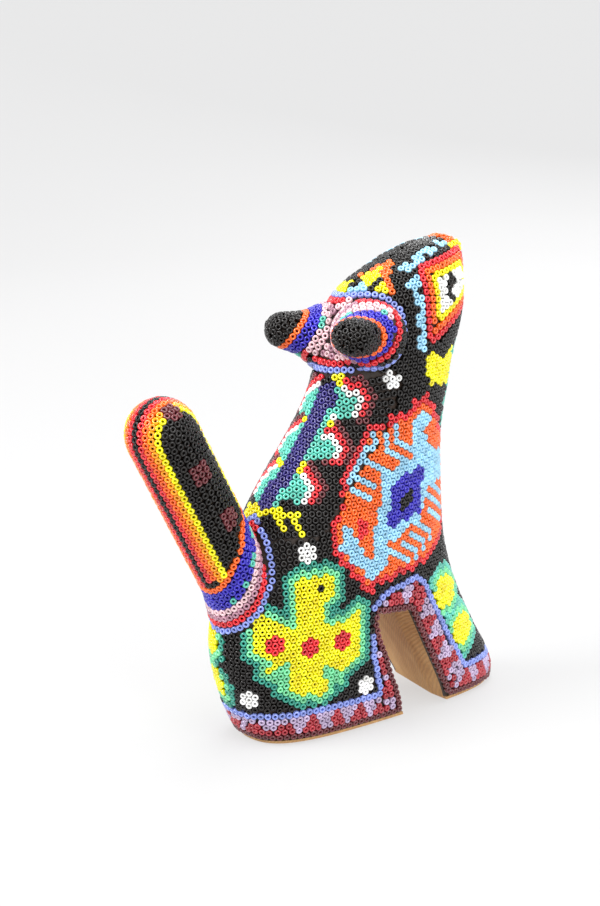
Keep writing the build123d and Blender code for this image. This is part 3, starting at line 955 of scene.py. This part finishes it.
def wood_finish():
    """Warm softwood with upright grain and the curved marks of a saw."""
    nodes = Nodes("sawn_wood")
    place = nodes.add("ShaderNodeTexCoord")
    stretch = nodes.add("ShaderNodeMapping")
    stretch.inputs["Scale"].default_value = (260.0, 260.0, 22.0)
    nodes.join(place, "Object", stretch, "Vector")
    grain = nodes.add("ShaderNodeTexNoise")
    grain.inputs["Scale"].default_value = 1.0
    grain.inputs["Detail"].default_value = 6.0
    nodes.join(stretch, "Vector", grain, "Vector")
    saw = nodes.add("ShaderNodeTexWave", wave_type="RINGS", rings_direction="SPHERICAL")
    shift = nodes.add("ShaderNodeMapping")
    shift.inputs["Location"].default_value = (0.035, 0.0, 0.03)
    nodes.join(place, "Object", shift, "Vector")
    nodes.join(shift, "Vector", saw, "Vector")
    saw.inputs["Scale"].default_value = 420.0
    saw.inputs["Distortion"].default_value = 3.5
    saw.inputs["Detail"].default_value = 3.0
    base = mixed(nodes, grain, "Fac", linear(170, 122, 70), linear(232, 194, 138))
    marks = mixed(nodes, saw, "Fac", linear(176, 130, 80), linear(244, 214, 168))
    blend = nodes.add("ShaderNodeMix", data_type="RGBA", blend_type="MULTIPLY")
    blend.inputs[0].default_value = 0.35
    nodes.join(base, 2, blend, 6)
    nodes.join(marks, 2, blend, 7)
    nodes.join(blend, 2, nodes.shader, "Base Color")
    nodes.surface(Roughness=0.7)
    nodes.bump(saw, "Fac", 0.5)
    return nodes.material


# ---------------------------------------------------------------- the bead meshes
AROUND, PROFILE = 14, 8
FULL_PIECE = 890  # beads that one exported piece may hold

ring_verts = []
for i in range(AROUND):
    turn = 2 * math.pi * i / AROUND
    for j in range(PROFILE):
        swing = 2 * math.pi * (j + 0.5) / PROFILE
        bulge = (math.copysign(abs(math.cos(swing)) ** 0.8, math.cos(swing)),
                 math.copysign(abs(math.sin(swing)) ** 0.8, math.sin(swing)))
        radius = (BEAD_RADIUS + HOLE_RADIUS) / 2 + (BEAD_RADIUS - HOLE_RADIUS) / 2 * bulge[0]
        ring_verts.append((radius * math.cos(turn), radius * math.sin(turn), BEAD_HEIGHT / 2 * bulge[1]))
ring_verts = np.array(ring_verts)
ring_faces = np.array([(i * PROFILE + j, (i + 1) % AROUND * PROFILE + j,
                        (i + 1) % AROUND * PROFILE + (j + 1) % PROFILE, i * PROFILE + (j + 1) % PROFILE)
                       for i in range(AROUND) for j in range(PROFILE)])


def bead_mesh(name, numbers):
    """One mesh of many glass rings, each turned to the skin it lies in."""
    verts = np.empty((len(numbers), len(ring_verts), 3))
    for k, number in enumerate(numbers):
        p, n = beads.at[number], skin.smooth_normal(beads.at[number], beads.face[number])
        n = unit(n + rng.normal(0.0, 0.05, 3))
        side = unit(np.cross(n, (0.31, 0.52, 0.79)))
        other = np.cross(n, side)
        size = rng.normal(1.0, 0.022, 2)
        spin = rng.uniform(0, 2 * math.pi)
        u, v = side * math.cos(spin) + other * math.sin(spin), other * math.cos(spin) - side * math.sin(spin)
        middle = p - n * (BEAD_HEIGHT / 2 + rng.uniform(-0.04, 0.06))
        shaped = ring_verts * (size[0], size[0], min(size[1], 1.03))
        verts[k] = middle + shaped @ np.array((u, v, n))
    faces = (ring_faces[None] + (np.arange(len(numbers)) * len(ring_verts))[:, None, None]).reshape(-1, 4)
    mesh = bpy.data.meshes.new(name)
    mesh.vertices.add(len(numbers) * len(ring_verts))
    mesh.vertices.foreach_set("co", (verts * MM).astype(np.float32).ravel())
    mesh.loops.add(faces.size)
    mesh.loops.foreach_set("vertex_index", faces.ravel().astype(np.int32))
    mesh.polygons.add(len(faces))
    mesh.polygons.foreach_set("loop_start", np.arange(0, faces.size, 4, dtype=np.int32))
    mesh.update(calc_edges=True)
    mesh.polygons.foreach_set("use_smooth", np.ones(len(faces), dtype=bool))
    mesh.validate()
    return mesh


REGIONS = {"tail": "tail", "ear": "ears", "hind": "hind_border", "front": "front_border", "haunch": "haunch",
           "rump": "haunch", "leg": "front_leg", "chest": "front_leg", "flank": "flank", "spine": "back",
           "neck": "back", "throat": "head", "eye": "head", "crown": "head"}
groups = {}
for number in range(len(beads)):
    region = REGIONS[names[number].split("_")[0]]
    groups.setdefault((region, colours[number]), []).append(number)
finishes = {colour: glass(colour) for colour in GLASS}
for (region, colour), numbers in sorted(groups.items()):
    for part in range(0, len(numbers), FULL_PIECE):
        chosen = numbers[part:part + FULL_PIECE]
        name = f"{region}_{colour}" + (f"_{part // FULL_PIECE + 1}" if len(numbers) > FULL_PIECE else "")
        piece = bpy.data.objects.new(name, bead_mesh(name, chosen))
        bpy.context.scene.collection.objects.link(piece)
        piece.data.materials.append(finishes[colour])
        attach(piece, "root")
        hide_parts(*sorted({names[number] for number in chosen}))
for name in BEAD_NODES:
    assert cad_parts[name].hide_render, name

wax, wood = wax_finish(), wood_finish()
for name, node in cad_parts.items():
    if name not in BEAD_NODES:
        node.data.materials.clear()
        node.data.materials.append(wax if "wax" in name else wood)

# ---------------------------------------------------------------- stage, light and camera
def stage_floor():
    """A pale round sweep which rises at its edge."""
    profile = [(0.0, 0.0), (0.5, 0.0), (0.9, 0.0)]
    profile += [(0.9 + 0.6 * math.sin(t), 0.6 - 0.6 * math.cos(t)) for t in np.linspace(0.1, math.pi / 2, 10)]
    profile.append((1.5, 2.2))
    turns = 64
    verts = [(r * math.cos(2 * math.pi * k / turns), r * math.sin(2 * math.pi * k / turns), h)
             for r, h in profile for k in range(turns)]
    faces = [(row * turns + k, row * turns + (k + 1) % turns, (row + 1) * turns + (k + 1) % turns,
              (row + 1) * turns + k) for row in range(len(profile) - 1) for k in range(turns)]
    mesh = bpy.data.meshes.new("floor")
    mesh.from_pydata(verts, [], faces)
    mesh.polygons.foreach_set("use_smooth", [True] * len(faces))
    floor = bpy.data.objects.new("floor", mesh)
    bpy.context.scene.collection.objects.link(floor)
    nodes = Nodes("pale_paper")
    noise = nodes.add("ShaderNodeTexNoise")
    noise.inputs["Scale"].default_value = 3.0
    mix = mixed(nodes, noise, "Fac", linear(124, 124, 125), linear(127, 127, 127))
    nodes.join(mix, 2, nodes.shader, "Base Color")
    nodes.surface(Roughness=0.9, Specular_IOR_Level=0.1, Emission_Color=(1.0, 1.0, 1.0, 1.0),
                  Emission_Strength=0.57)
    mesh.materials.append(nodes.material)


def soft_light(name, place, size, power):
    """A square soft box aimed at the middle of the figure."""
    lamp = bpy.data.lights.new(name, "AREA")
    lamp.size = size
    lamp.energy = power
    holder = bpy.data.objects.new(name, lamp)
    bpy.context.scene.collection.objects.link(holder)
    holder.location = place
    holder.rotation_euler = (Vector((0.0, 0.0, 0.07)) - Vector(place)).to_track_quat("-Z", "Y").to_euler()


stage_floor()
soft_light("key", (0.25, 0.75, 0.75), 0.45, 10.0)
soft_light("fill", (-0.85, 0.0, 0.5), 0.6, 4.6)
soft_light("top", (-0.1, 0.0, 1.1), 0.7, 8.6)
soft_light("front", (0.5, -0.8, 0.5), 0.6, 4.0)
scene = bpy.context.scene
scene.world = scene.world or bpy.data.worlds.new("world")
scene.world.use_nodes = True
sky = scene.world.node_tree.nodes.get("Background")
sky.inputs["Color"].default_value = (1.0, 1.0, 1.0, 1.0)
sky.inputs["Strength"].default_value = 0.5
scene.view_settings.view_transform = "Standard"
camera = bpy.data.objects.new("camera", bpy.data.cameras.new("camera"))
scene.collection.objects.link(camera)
camera.data.sensor_fit = "HORIZONTAL"
camera.data.sensor_width = 36.0
camera.data.lens = 120.2
camera.location = (-0.4301, 0.3624, 0.2227)
aim = Vector((0.01146, -0.00188, 0.07873)) - camera.location
camera.rotation_euler = aim.to_track_quat("-Z", "Y").to_euler()
scene.camera = camera
